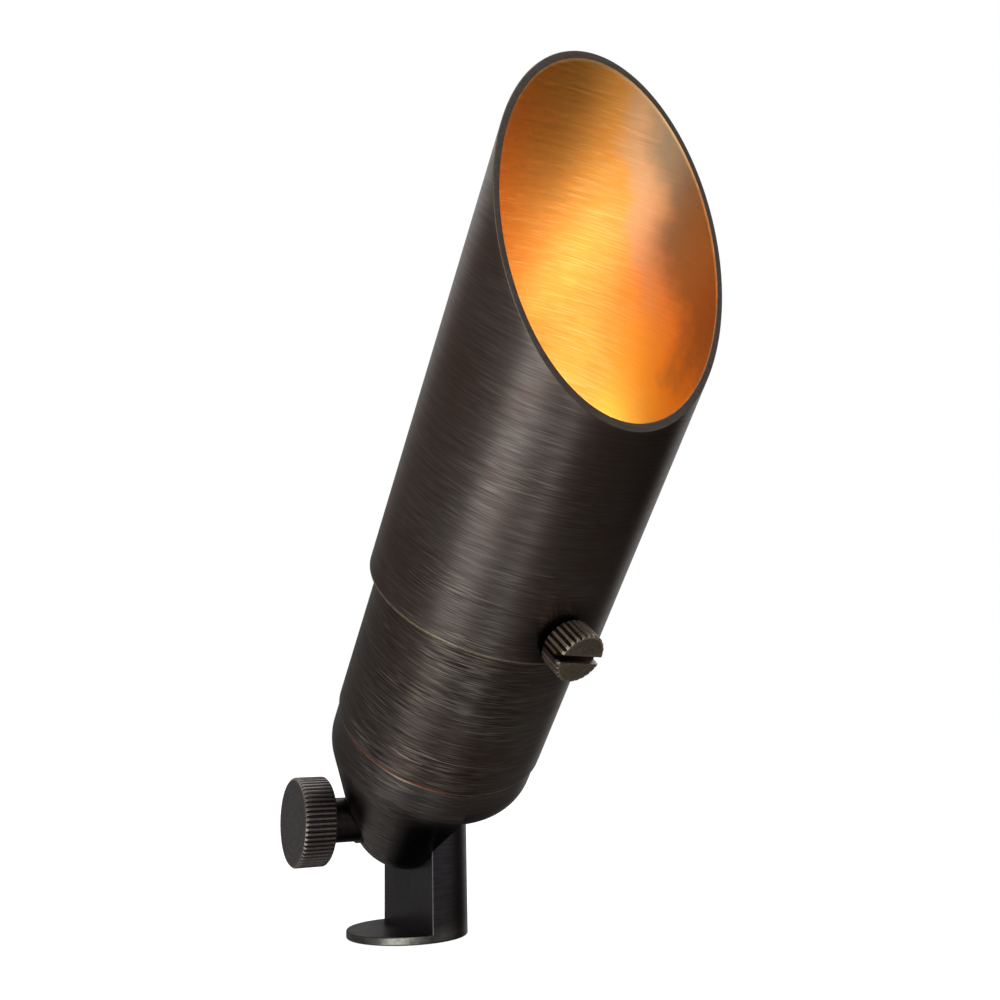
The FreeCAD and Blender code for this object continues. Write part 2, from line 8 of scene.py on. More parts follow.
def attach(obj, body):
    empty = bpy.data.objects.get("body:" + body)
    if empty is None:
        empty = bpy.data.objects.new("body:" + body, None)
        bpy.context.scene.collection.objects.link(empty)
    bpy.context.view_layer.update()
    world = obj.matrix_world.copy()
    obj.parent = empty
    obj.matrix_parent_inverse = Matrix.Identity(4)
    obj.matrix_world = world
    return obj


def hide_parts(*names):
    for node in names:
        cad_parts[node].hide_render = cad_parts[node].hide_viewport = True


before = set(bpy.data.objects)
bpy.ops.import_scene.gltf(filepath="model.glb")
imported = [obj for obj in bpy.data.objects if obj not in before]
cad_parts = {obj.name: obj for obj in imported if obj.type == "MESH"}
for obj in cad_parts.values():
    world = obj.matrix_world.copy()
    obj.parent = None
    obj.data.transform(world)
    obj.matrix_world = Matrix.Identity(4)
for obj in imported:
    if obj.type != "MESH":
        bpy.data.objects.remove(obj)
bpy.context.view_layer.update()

# A landscape spotlight of turned, dark antique brass. Sizes are millimetres in the
# same frame as the model: origin under the foot's centre, +Z up. Turned pieces are
# made upright about their own axis and then set in place.

MM = 0.001
SEGMENTS = 192
TINY = 1e-5
WELD = 0.004

# Placing frames: each takes a piece's own upright axis to its place in the model
LEAN = math.radians(42)
TILT_HEIGHT = 32.0
HEAD = Matrix.Translation((0, 0, TILT_HEIGHT)) @ Matrix.Rotation(LEAN, 4, "X")
KNOB = Matrix.Translation((0, 0, TILT_HEIGHT)) @ Matrix.Rotation(math.radians(-90), 4, "Y")
FOOT = Matrix.Identity(4)
THUMB_HEIGHT = 85.3
THUMB_TURN = math.radians(8.8 - 90)
THUMB = (HEAD @ Matrix.Translation((0, 0, THUMB_HEIGHT))
         @ Matrix.Rotation(THUMB_TURN, 4, "Z") @ Matrix.Rotation(math.radians(90), 4, "Y"))

# Sizes shared by more than one piece
FOOT_RADIUS = 17.0
FOOT_THICKNESS = 2.3
NECK_FACE = -0.82
CAP_RIM = 28.0
CAP_SHOULDER = 34.6
CAP_BORE = 22.6
HOLLOW_BOTTOM = 21.5
STUD_BORE = 4.05
SEAL_BOTTOM = 33.6
SEAL_BORE = 26.2
SEAL_GROOVE = 27.66
BODY_RADIUS = 28.5
BODY_BOTTOM = 35.0
BODY_TOP = 112.0
SHROUD_RADIUS = 31.1
SHROUD_BORE = 29.5
SHROUD_BOTTOM = 77.7
MOUTH_HEIGHT = 173.0
MOUTH_ANGLE = math.radians(47.2)
MOUTH_TURN = math.radians(2.8)

# How deep bump goes, in metres
LINE_DEPTH = 0.00006
GRAIN_DEPTH = 0.00004
RUBBER_DEPTH = 0.00003

# Directions across a piece's own axis: the lit side, where the lines' painted highlight shows
# most, and two sides inside the shroud that carry painted light and painted shade
LIT_SIDE = Vector((-0.64, -0.768, 0))
PAINTED_LIGHT_SIDE = Vector((0.94, -0.342, 0))
PAINTED_SHADE_SIDE = Vector((-0.574, 0.819, 0))


# Mesh helpers

def rounded(points, steps=4):
    """Outline points with corners rounded: an entry is (radius, height[, corner])."""
    out = []
    count = len(points)
    for index, entry in enumerate(points):
        here = Vector(entry[:2])
        if len(entry) < 3:
            out.append(here)
            continue
        back = (Vector(points[index - 1][:2]) - here).normalized()
        on = (Vector(points[(index + 1) % count][:2]) - here).normalized()
        half = back.angle(on) / 2
        centre = here + (back + on).normalized() * (entry[2] / math.sin(half))
        reach = entry[2] / math.tan(half)
        first = (here + back * reach - centre).normalized()
        last = (here + on * reach - centre).normalized()
        for step in range(steps + 1):
            out.append(centre + first.slerp(last, step / steps) * entry[2])
    return out


def arc(centre, radius, start, end, steps):
    """Points of an arc, angles in degrees from the radius axis towards the height."""
    out = []
    for step in range(steps + 1):
        turn = math.radians(start + (end - start) * step / steps)
        out.append((centre[0] + radius * math.cos(turn), centre[1] + radius * math.sin(turn)))
    return out


def new_piece(name, vertices, faces):
    mesh = bpy.data.meshes.new(name)
    mesh.from_pydata(vertices, [], faces)
    mesh.validate()
    piece = bpy.data.objects.new(name, mesh)
    bpy.context.scene.collection.objects.link(piece)
    return piece


def turned(name, points, segments=SEGMENTS, trim=None):
    """A closed outline turned about Z. trim(angle, radius, height) may pull a point in."""
    vertices = []
    rings = []
    for radius, height in points:
        if radius < TINY:
            rings.append([len(vertices)] * segments)
            vertices.append((0, 0, height))
            continue
        ring = []
        for step in range(segments):
            angle = 2 * math.pi * step / segments
            reach = trim(angle, radius, height) if trim else radius
            ring.append(len(vertices))
            vertices.append((reach * math.cos(angle), reach * math.sin(angle), height))
        rings.append(ring)
    faces = []
    for index, ring in enumerate(rings):
        following = rings[(index + 1) % len(rings)]
        for step in range(segments):
            after = (step + 1) % segments
            corners = [ring[step], ring[after], following[after], following[step]]
            face = list(dict.fromkeys(corners))
            if len(face) > 2:
                faces.append(face)
    piece = new_piece(name, vertices, faces)
    tidy_mesh(piece)
    return piece


def tidy_mesh(piece, merge=TINY):
    """Joins doubled points and turns every face outwards."""
    work = bmesh.new()
    work.from_mesh(piece.data)
    bmesh.ops.remove_doubles(work, verts=work.verts, dist=merge)
    bmesh.ops.recalc_face_normals(work, faces=work.faces)
    work.to_mesh(piece.data)
    work.free()


def box(name, low, high):
    """A plain cutting block between two corners."""
    corners = [(x, y, z) for x in (low[0], high[0]) for y in (low[1], high[1])
               for z in (low[2], high[2])]
    faces = [(0, 1, 3, 2), (4, 6, 7, 5), (0, 4, 5, 1), (2, 3, 7, 6), (0, 2, 6, 4),
             (1, 5, 7, 3)]
    return new_piece(name, corners, faces)


def rod(name, radius, low, high, axis="Z", centre=(0, 0, 0), segments=96):
    """A cutting cylinder along Z or X, from low to high as measured from centre."""
    piece = turned(name, [(0, low), (radius, low), (radius, high), (0, high)], segments)
    turn = Matrix.Rotation(math.radians(90 if axis == "X" else 0), 4, "Y")
    piece.data.transform(Matrix.Translation(centre) @ turn)
    return piece


def settle(piece):
    """Applies a piece's modifiers."""
    graph = bpy.context.evaluated_depsgraph_get()
    settled = bpy.data.meshes.new_from_object(piece.evaluated_get(graph))
    piece.modifiers.clear()
    piece.data = settled


def combine(piece, other, operation):
    """Joins, cuts or keeps the common part, and removes the other piece."""
    modifier = piece.modifiers.new("combine", "BOOLEAN")
    modifier.operation = operation
    modifier.solver = "EXACT"
    modifier.object = other
    settle(piece)
    bpy.data.objects.remove(other)
    tidy_mesh(piece, WELD)


def soften_edges(piece, width, share):
    """Rounds every edge that turns by more than 30 degrees, by share(place) of the width."""
    least = math.radians(30)
    work = bmesh.new()
    work.from_mesh(piece.data)
    layer = work.edges.layers.float.new("bevel_weight_edge")
    for edge in work.edges:
        if len(edge.link_faces) == 2 and edge.calc_face_angle() > least:
            edge[layer] = share((edge.verts[0].co + edge.verts[1].co) / 2)
    work.to_mesh(piece.data)
    work.free()
    modifier = piece.modifiers.new("soften", "BEVEL")
    modifier.width = width
    modifier.segments = 2
    modifier.limit_method = "WEIGHT"
    modifier.use_clamp_overlap = False
    modifier.miter_outer = "MITER_ARC"
    settle(piece)
    tidy_mesh(piece, WELD)


def store_wear_and_painted_light(piece, rubbed_and_painted_light):
    """Stores each point's value from the given function, which holds real rubbing and patina
    together with painted light and shade: one is bare brass, minus one is darkest.
    """
    layer = piece.data.attributes.new("wear_and_painted_light", "FLOAT", "POINT")
    for index, vertex in enumerate(piece.data.vertices):
        layer.data[index].value = max(-1.0, min(1.0, rubbed_and_painted_light(vertex.co)))


def set_in_place(piece, place, body, materials, nodes, sharp=32):
    """Scales, places, smooths and dresses a finished piece, and hides the modelled parts it
    replaces.
    """
    piece.data.transform(Matrix.Scale(MM, 4) @ place)
    for polygon in piece.data.polygons:
        polygon.use_smooth = True
    piece.data.set_sharp_from_angle(angle=math.radians(sharp))
    weighted = piece.modifiers.new("smooth", "WEIGHTED_NORMAL")
    weighted.keep_sharp = True
    for material in materials:
        piece.data.materials.append(material)
    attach(piece, body)
    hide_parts(*nodes)


def ramp_up(value, low, high):
    """Nought below low, one above high, straight between them."""
    return max(0.0, min(1.0, (value - low) / (high - low)))


def near(value, middle, width):
    """One at the middle, falling to nought at the width from it."""
    return max(0.0, 1.0 - abs(value - middle) / width)


# Material helpers

class Graph:
    """A short way to add and join nodes, in a new material or in a world."""

    def __init__(self, name, world=None):
        self.material = world or bpy.data.materials.new(name)
        self.material.use_nodes = True
        self.tree = self.material.node_tree
        self.shader = self.tree.nodes["Background" if world else "Principled BSDF"]

    def add(self, kind, **settings):
        node = self.tree.nodes.new("ShaderNode" + kind)
        for key, value in settings.items():
            setattr(node, key, value)
        return node

    def put(self, socket, value):
        if isinstance(value, bpy.types.NodeSocket):
            self.tree.links.new(value, socket)
        else:
            socket.default_value = value

    def maths(self, operation, *values, clamp=False):
        node = self.add("Math", operation=operation, use_clamp=clamp)
        for socket, value in zip(node.inputs, values):
            self.put(socket, value)
        return node.outputs[0]

    def vector(self, operation, *values):
        node = self.add("VectorMath", operation=operation)
        for socket, value in zip(node.inputs, values):
            self.put(socket, value)
        return node.outputs["Value" if operation == "DOT_PRODUCT" else "Vector"]

    def spread(self, value, low, high, to_low=0.0, to_high=1.0):
        node = self.add("MapRange", interpolation_type="SMOOTHSTEP")
        for socket, number in zip(node.inputs, (value, low, high, to_low, to_high)):
            self.put(socket, number)
        return node.outputs[0]

    def mix(self, share, first, second, blend="MIX"):
        node = self.add("Mix", data_type="RGBA", blend_type=blend)
        self.put(node.inputs["Factor"], share)
        self.put(node.inputs[6], colour(first))
        self.put(node.inputs[7], colour(second))
        return node.outputs[2]

    def noise(self, vector, scale, detail=2.0, roughness=0.5, fourth=None):
        node = self.add("TexNoise", noise_dimensions="3D" if fourth is None else "4D")
        self.put(node.inputs["Vector"], vector)
        self.put(node.inputs["Scale"], scale)
        self.put(node.inputs["Detail"], detail)
        self.put(node.inputs["Roughness"], roughness)
        if fourth is not None:
            self.put(node.inputs["W"], fourth)
        return node.outputs["Fac"]

    def bump(self, height, strength, distance):
        node = self.add("Bump")
        self.put(node.inputs["Height"], height)
        self.put(node.inputs["Strength"], strength)
        self.put(node.inputs["Distance"], distance)
        return node.outputs["Normal"]

    def place(self, matrix):
        """The point in millimetres in a piece's own upright frame."""
        back = matrix.inverted()
        node = self.add("Mapping")
        self.put(node.inputs["Vector"], self.add("TexCoord").outputs["Object"])
        node.inputs["Location"].default_value = back.translation
        node.inputs["Rotation"].default_value = back.to_euler()
        node.inputs["Scale"].default_value = (1 / MM,) * 3
        return node.outputs["Vector"]

    def set(self, **values):
        for key, value in values.items():
            self.put(self.shader.inputs[key.replace("_", " ")], value)


def colour(value):
    if isinstance(value, (tuple, list)) and len(value) == 3:
        return (*value, 1.0)
    return value


def turning_lines(graph, matrix):
    """Fine lines left by turning, coarse and fine, and the point they are made from."""
    point = graph.place(matrix)
    parts = graph.add("SeparateXYZ")
    graph.put(parts.inputs[0], point)
    x, y, z = parts.outputs
    radius = graph.maths("SQRT", graph.maths("ADD", graph.maths("MULTIPLY", x, x),
                                             graph.maths("MULTIPLY", y, y)))
    radius = graph.maths("MAXIMUM", radius, 0.01)
    across = graph.maths("DIVIDE", x, radius)
    along = graph.maths("DIVIDE", y, radius)

    def lines(per_millimetre, round_share, seed, detail):
        node = graph.add("CombineXYZ")
        graph.put(node.inputs[0], graph.maths("MULTIPLY_ADD", z, per_millimetre, seed))
        graph.put(node.inputs[1], graph.maths("MULTIPLY", radius, per_millimetre))
        graph.put(node.inputs[2], graph.maths("MULTIPLY", across, round_share))
        fourth = graph.maths("MULTIPLY", along, round_share)
        return graph.noise(node.outputs[0], 1.0, detail, 0.55, fourth)

    return point, lines, z, radius


def brushed_tangent(graph, matrix):
    """The direction of the turning lines at each point."""
    axis = matrix.to_3x3() @ Vector((0, 0, 1))
    centre = matrix.translation * MM
    point = graph.add("TexCoord").outputs["Object"]
    out = graph.vector("SUBTRACT", point, centre)
    line = graph.vector("NORMALIZE", graph.vector("CROSS_PRODUCT", axis, out))
    node = graph.add("VectorTransform", vector_type="VECTOR", convert_from="OBJECT",
                     convert_to="WORLD")
    graph.put(node.inputs[0], line)
    return node.outputs[0]


def facing(graph, point, radius, side):
    """How far each point faces a side: one towards it, nought at a right angle."""
    return graph.maths("DIVIDE", graph.vector("DOT_PRODUCT", point, side), radius)


def antique_brass(name, matrix, light=1.0, line_strength=1.0, seed=0.0, cool=0.0):
    """Dark patina over brass, brushed by turning: the lines show most low down, and on the lit
    side as painted highlight. The stored attribute, which holds real rubbing and patina together
    with painted light and shade, shows bare brass where it is above nought and a darker colour
    where it is below."""
    def tone(red, green, blue):
        return (red * light * (1 - 0.10 * cool), green * light, blue * light * (1 + 0.26 * cool))

    graph = Graph(name)
    point, lines, z, radius = turning_lines(graph, matrix)
    coarse = lines(2.2, 2.5, seed, 3.0)
    fine = lines(4.4, 5.0, seed + 31.0, 1.0)
    scratch = lines(3.6, 3.0, seed + 83.0, 0.0)
    clusters = lines(0.14, 1.6, seed + 57.0, 2.0)
    blotch = graph.noise(point, 0.045, 3.0, 0.6)
    dark, mid = tone(0.225, 0.184, 0.168), tone(0.310, 0.268, 0.238)
    red, gold = tone(0.235, 0.152, 0.130), tone(0.540, 0.485, 0.425)
    deep, pale = tone(0.070, 0.058, 0.054), tone(0.760, 0.690, 0.590)
    # Under a darker patina the bare brass keeps at least this brightness
    rub = max(light, 0.8) / light
    rubbed_and_painted_light = tone(0.900 * rub, 0.780 * rub, 0.540 * rub)
    base = graph.mix(graph.spread(coarse, 0.32, 0.68), dark, mid)
    base = graph.mix(graph.maths("MULTIPLY", graph.spread(blotch, 0.42, 0.70), 0.6), base, red)
    busy = graph.maths("MULTIPLY", graph.spread(clusters, 0.38, 0.66, 0.30, 1.0),
                       graph.spread(z, 60, 150, 1.5, 0.4))
    # Painted highlight: the lines' dark and pale colours are stronger on the lit side
    lit = graph.spread(facing(graph, point, radius, LIT_SIDE), 0.6, 0.97, 0.25, 1.1)
    busy = graph.maths("MULTIPLY", busy, lit)
    grooves = graph.spread(fine, 0.36, 0.48, 0.40 * line_strength, 0.0)
    base = graph.mix(graph.maths("MULTIPLY", grooves, busy), base, deep)
    streaks = graph.maths("MULTIPLY", graph.spread(fine, 0.50, 0.66), 0.50 * line_strength)
    base = graph.mix(graph.maths("MULTIPLY", streaks, busy), base, gold)
    marks = graph.maths("MULTIPLY", graph.spread(scratch, 0.68, 0.76), 0.60 * line_strength)
    base = graph.mix(graph.maths("MULTIPLY", marks, busy), base, pale)
    wear_and_painted_light = graph.add("Attribute", attribute_name="wear_and_painted_light").outputs["Fac"]
    rubbed = graph.noise(point, 1.1, 2.0)
    # Above nought: bare brass, for real rubbing and for painted highlights
    edge = graph.maths("MULTIPLY", wear_and_painted_light, graph.spread(rubbed, 0.25, 0.6, 0.45, 1.0), clamp=True)
    base = graph.mix(edge, base, rubbed_and_painted_light)
    # Below nought: near black, for patina in hollows and for painted shade
    base = graph.mix(graph.maths("MULTIPLY", wear_and_painted_light, -1.0, clamp=True), base, (0.02, 0.016, 0.015))
    rough = graph.spread(coarse, 0.3, 0.7, 0.36, 0.30)
    height = graph.maths("MULTIPLY_ADD", fine, 0.8, coarse)
    graph.set(Base_Color=base, Metallic=1.0, Roughness=rough, Anisotropic=0.5,
              Anisotropic_Rotation=0.25, Tangent=brushed_tangent(graph, matrix),
              Normal=graph.bump(height, 0.12 * min(line_strength, 1.0), LINE_DEPTH))
    return graph.material


def bright_copper(name, matrix):
    """The shroud's bare inside: golden copper with fine turning lines. Its colour also carries
    painted light: a yellower pool low down one side, a pale painted sheen and painted shade
    higher up that side, and painted shade near the tip of the other side."""
    graph = Graph(name)
    point, lines, z, radius = turning_lines(graph, matrix)
    coarse = lines(2.8, 2.5, 11.0, 3.0)
    fine = lines(4.6, 4.0, 47.0, 1.0)
    blotch = graph.noise(point, 0.06, 3.0, 0.55)
    base = graph.mix(graph.spread(coarse, 0.3, 0.7), (0.85, 0.355, 0.068), (0.97, 0.452, 0.100))
    base = graph.mix(graph.spread(blotch, 0.4, 0.75, 0.0, 0.5), base, (0.78, 0.315, 0.060))
    base = graph.mix(graph.spread(fine, 0.52, 0.66, 0.0, 0.6), base, (1.0, 0.590, 0.220))
    toward = facing(graph, point, radius, PAINTED_LIGHT_SIDE)
    wavy = graph.maths("MULTIPLY_ADD", blotch, 0.5, toward)
    wavy = graph.maths("MULTIPLY_ADD", z, 0.014, graph.maths("SUBTRACT", wavy, 2.225))
    # Painted light: yellower low down the one side
    painted_light_pool = graph.maths("MULTIPLY", graph.spread(toward, 0.40, 0.75, 0.0, 0.75),
                         graph.spread(z, 145, 168, 1.0, 0.0))
    base = graph.mix(painted_light_pool, base, (0.98, 0.620, 0.090))
    sheen = graph.maths("MULTIPLY", graph.spread(wavy, 0.62, 0.84, 0.0, 0.60),
                        graph.spread(z, 138, 168))
    base = graph.mix(sheen, base, (0.72, 0.470, 0.320))
    # Painted shade: darker higher up the same side
    base = graph.mix(graph.spread(wavy, 0.88, 1.14, 0.0, 0.76), base, (0.26, 0.225, 0.155))
    # Painted shade near the tip on the other side
    away = facing(graph, point, radius, PAINTED_SHADE_SIDE)
    painted_tip_shade = graph.maths("MULTIPLY", graph.spread(away, 0.70, 0.93, 0.0, 0.9),
                        graph.spread(z, 165, 190))
    base = graph.mix(painted_tip_shade, base, (0.60, 0.270, 0.060))
    wear_and_painted_light = graph.add("Attribute", attribute_name="wear_and_painted_light").outputs["Fac"]
    base = graph.mix(wear_and_painted_light, base, (1.0, 0.660, 0.300))
    height = graph.maths("MULTIPLY_ADD", fine, 0.5, coarse)
    graph.set(Base_Color=base, Metallic=1.0,
              Roughness=graph.spread(coarse, 0.2, 0.8, 0.52, 0.42), Anisotropic=0.3,
              Anisotropic_Rotation=0.25, Tangent=brushed_tangent(graph, matrix),
              Normal=graph.bump(height, 0.14, LINE_DEPTH))
    return graph.material


def plain_metal(name, tone, rough):
    """A small metal part: fine grain, slight tarnish."""
    graph = Graph(name)
    point = graph.place(FOOT)
    grain = graph.noise(point, 3.0, 3.0, 0.6)
    tarnish = graph.noise(point, 0.35, 3.0, 0.6)
    darker = [c * 0.72 for c in tone]
    base = graph.mix(graph.spread(tarnish, 0.35, 0.7, 0.0, 0.7), tone, darker)
    graph.set(Base_Color=base, Metallic=1.0,
              Roughness=graph.spread(grain, 0.3, 0.7, rough - 0.06, rough + 0.08),
              Normal=graph.bump(grain, 0.08, GRAIN_DEPTH))
    return graph.material


def soft_rubber(name, tone, rough=0.5):
    """Silicone or rubber with faint dust and mould grain."""
    graph = Graph(name)
    point = graph.place(FOOT)
    grain = graph.noise(point, 9.0, 2.0)
    dust = graph.noise(point, 0.5, 4.0, 0.6)
    paler = [c + (0.4 - c) * 0.18 for c in tone]
    graph.set(Base_Color=graph.mix(graph.spread(dust, 0.4, 0.75, 0.0, 0.6), tone, paler),
              Roughness=graph.spread(grain, 0.3, 0.7, rough, rough + 0.15),
              Normal=graph.bump(grain, 0.15, RUBBER_DEPTH))
    return graph.material


def fired_ceramic(name, tone):
    graph = Graph(name)
    point = graph.place(FOOT)
    grain = graph.noise(point, 4.0, 4.0, 0.6)
    stain = graph.noise(point, 0.25, 3.0, 0.6)
    darker = [c * 0.8 for c in tone]
    graph.set(Base_Color=graph.mix(graph.spread(stain, 0.45, 0.75, 0.0, 0.6), tone, darker),
              Roughness=graph.spread(grain, 0.3, 0.7, 0.45, 0.65),
              Normal=graph.bump(grain, 0.2, GRAIN_DEPTH))
    return graph.material


def clear_glass(name, tint, rough=0.02):
    """Clear glass with a trace of dust."""
    graph = Graph(name)
    dust = graph.noise(graph.place(FOOT), 0.8, 4.0, 0.6)
    graph.set(Base_Color=colour(tint), Transmission_Weight=1.0, IOR=1.47,
              Roughness=graph.spread(dust, 0.35, 0.75, rough, rough + 0.05))
    return graph.material


def mirror_coat(name):
    graph = Graph(name)
    point = graph.place(FOOT)
    haze = graph.noise(point, 0.4, 3.0)
    graph.set(Base_Color=graph.mix(graph.spread(haze, 0.4, 0.7, 0.0, 0.4),
                                   (0.86, 0.84, 0.80), (0.74, 0.73, 0.71)),
              Metallic=1.0, Roughness=graph.spread(haze, 0.3, 0.8, 0.06, 0.14))
    return graph.material


bronze_head = antique_brass("antique_brass_head", HEAD, 0.88, 1.5, 0.0, -0.15)
bronze_hood = antique_brass("antique_brass_shroud", HEAD, 1.0, 1.1, 90.0)
bronze_cap = antique_brass("antique_brass_cap", HEAD, 0.84, 1.1, 140.0, 0.2)
bronze_foot = antique_brass("antique_brass_foot", FOOT, 0.52, 0.45, 200.0, 1.0)
bronze_knob = antique_brass("antique_brass_knob", KNOB, 1.35, 0.35, 260.0, 0.5)
bronze_thumb = antique_brass("antique_brass_thumbscrew", THUMB, 1.25, 0.8, 330.0)
copper = bright_copper("bare_copper_inside", HEAD)


# The shroud: bronze outside, bare copper inside, its mouth cut at a slant

def mouth_at(radius, angle):
    """Height of the slanted mouth over a point of the shroud."""
    x = radius * math.cos(angle)
    y = radius * math.sin(angle)
    rise = y * math.cos(MOUTH_TURN) - x * math.sin(MOUTH_TURN)
    return MOUTH_HEIGHT + math.tan(MOUTH_ANGLE) * rise


def shroud_section(angle):
    """(radius, height, wear, inside) up the outside, over the mouth and back inside."""
    edge, mouth_edge, steps, count = 0.5, 0.25, 5, 40
    foot_bore = BODY_RADIUS + 0.05
    foot_top = SHROUD_BOTTOM + 16.0
    ledge_rise = 1.4
    corners = rounded([
        (foot_bore, SHROUD_BOTTOM), (SHROUD_RADIUS, SHROUD_BOTTOM, edge),
        (SHROUD_RADIUS, mouth_at(SHROUD_RADIUS, angle), mouth_edge),
        (SHROUD_BORE, mouth_at(SHROUD_BORE, angle), mouth_edge),
        (SHROUD_BORE, foot_top + ledge_rise), (foot_bore, foot_top),
    ], steps)
    foot = corners[1:2 + steps]
    outer = corners[2 + steps:3 + 2 * steps]
    inner = corners[3 + 2 * steps:4 + 3 * steps]
    ledge, foot_inside = corners[-2:]
    rows = [(*corners[0], 0.25, 0)]
    # The bottom edge and a thin band just above it are paler: real edge rubbing and a painted
    # highlight line
    rows += [(*place, 0.5 + 0.1 * step, 0) for step, place in enumerate(foot)]
    rows.append((*(foot[-1] + Vector((0, 0.25))), 0.9, 0))
    above_foot = foot[-1] + Vector((0, 0.5))
    rows += [(*above_foot.lerp(outer[0], step / count), 0.0, 0) for step in range(count)]
    rows += [(*place, 0.10, 0) for place in outer]
    rows += [(*place, 0.10 * step, 0) for step, place in enumerate(inner[:3])]
    # The mouth's inner rounded edge is paler bare copper: real rubbing and a painted highlight
    # line
    rows += [(*place, 0.8, 1) for place in inner[3:]]
    rows.append((*(inner[-1] - Vector((0, 0.15))), 0.8, 1))
    start = inner[-1] - Vector((0, 0.8))
    rows += [(*start.lerp(ledge, step / count), 0.0, 1) for step in range(count + 1)]
    rows.append((*foot_inside, 0.0, 1))
    return rows


def painted_thumb_shade(angle, radius, height):
    """Painted shade on the shroud round the thumbscrew's collar, standing in for the
    thumbscrew's dark reflection.
    """
    turn = (angle - THUMB_TURN + math.pi) % (2 * math.pi) - math.pi
    away = math.hypot(turn * SHROUD_RADIUS, height - THUMB_HEIGHT)
    return -0.95 * ramp_up(-away, -12.5, -5.0) if radius > SHROUD_RADIUS - 0.3 else 0.0


def make_shroud():
    segments = 256
    columns = [shroud_section(2 * math.pi * step / segments) for step in range(segments)]
    rows = len(columns[0])
    vertices = []
    wear_and_painted_light = []
    for step, column in enumerate(columns):
        angle = 2 * math.pi * step / segments
        for radius, height, rubbed_and_painted_light, inside in column:
            vertices.append((radius * math.cos(angle), radius * math.sin(angle), height))
            wear_and_painted_light.append(rubbed_and_painted_light + painted_thumb_shade(angle, radius, height))
    faces = []
    indexes = []
    for step in range(segments):
        after = (step + 1) % segments
        for row in range(rows):
            following = (row + 1) % rows
            faces.append((step * rows + row, after * rows + row,
                          after * rows + following, step * rows + following))
            indexes.append(min(columns[0][row][3], columns[0][following][3]))
    mesh = bpy.data.meshes.new("shroud_tube")
    mesh.from_pydata(vertices, [], faces)
    mesh.polygons.foreach_set("material_index", indexes)
    layer = mesh.attributes.new("wear_and_painted_light", "FLOAT", "POINT")
    layer.data.foreach_set("value", wear_and_painted_light)
    piece = bpy.data.objects.new("shroud_tube", mesh)
    bpy.context.scene.collection.objects.link(piece)
    work = bmesh.new()
    work.from_mesh(mesh)
    bmesh.ops.recalc_face_normals(work, faces=work.faces)
    work.to_mesh(mesh)
    work.free()
    set_in_place(piece, HEAD, "hood", [bronze_hood, copper], ["shroud"])


# Body tube, with its rounded ends and the seat for the lens

def make_body():
    edge, inner_edge = 0.55, 0.2
    cap_bore, cap_seat = 26.23, 43.8
    inside, lens_bore, lens_seat = 25.6, 27.2, 106.2
    outline = rounded([
        (cap_bore, BODY_BOTTOM), (BODY_RADIUS, BODY_BOTTOM, edge),
        (BODY_RADIUS, BODY_TOP, edge), (lens_bore, BODY_TOP, inner_edge),
        (lens_bore, lens_seat), (inside, lens_seat, inner_edge),
        (inside, cap_seat), (cap_bore, cap_seat),
    ])
    rows = []
    long_side, end_share, parts = 20, 0.5, 24
    for before, after in zip(outline, outline[1:] + outline[:1]):
        rows.append(before)
        if (after - before).length > long_side:
            way = (after - before).normalized() * end_share
            first, last = before + way, after - way
            rows.extend(first.lerp(last, step / parts) for step in range(parts + 1))
    piece = turned("body_sleeve", [tuple(row) for row in rows], 256)

    def rubbed_and_painted_light(place):
        radius = math.hypot(place.x, place.y)
        low = near(place.z, BODY_BOTTOM + 0.15, 0.5) * ramp_up(radius, 27.8, 28.3)
        high = near(place.z, BODY_TOP, 0.6) * ramp_up(radius, 27.8, 28.3)
        return 0.55 * low + 0.7 * high

    store_wear_and_painted_light(piece, rubbed_and_painted_light)
    set_in_place(piece, HEAD, "head", [bronze_head], ["body_tube"])


# Base cap: a dome with its neck milled flat on the post's side

def neck_outline():
    """Outline of the neck before it is cut flat: round tip, slope, blend and rim."""
    slope = 24.5
    sine = math.sin(math.radians(slope))
    cosine = math.cos(math.radians(slope))
    end_radius, end_centre = 16.9, 3.5
    blend_radius = 11.7
    blend_x = CAP_RIM - blend_radius
    blend_z = end_centre + (blend_x * cosine + blend_radius - end_radius) / sine
    points = [(0.0, end_centre - end_radius)]
    points += arc((0, end_centre), end_radius, -90, -slope, 24)[1:]
    last = Vector(points[-1])
    first = Vector(arc((blend_x, blend_z), blend_radius, -slope, 0, 1)[0])
    points += [tuple(last.lerp(first, step / 6)) for step in range(1, 6)]
    points += arc((blend_x, blend_z), blend_radius, -slope, 0, 12)
    rim = rounded([(CAP_RIM, blend_z + 1), (CAP_RIM, CAP_SHOULDER, 0.5),
                   (26.0, CAP_SHOULDER)])
    points += [tuple(place) for place in rim]
    points += [(0.0, CAP_SHOULDER)]
    return points


def bowl_outline():
    """Outline of the bowl: round bottom, groove for the seal, spigot and hollow."""
    corner = 11.0
    bottom = 17.9
    spigot_side, spigot_end, spigot_top = 42.0, 25.6, 42.6
    points = [(0.0, bottom), (8.0, bottom)]
    points += arc((CAP_RIM - corner, bottom + corner), corner, -90, 0, 18)
    rim = rounded([(CAP_RIM, bottom + corner + 1), (CAP_RIM, CAP_SHOULDER, 0.5),
                   (SEAL_GROOVE, CAP_SHOULDER), (SEAL_GROOVE, SEAL_BOTTOM),
                   (SEAL_BORE, SEAL_BOTTOM), (SEAL_BORE, spigot_side),
                   (spigot_end, spigot_top), (CAP_BORE, spigot_top), (CAP_BORE, 24.0)])
    points += [tuple(place) for place in rim]
    points += [(20.1, HOLLOW_BOTTOM), (0.0, HOLLOW_BOTTOM)]
    return points


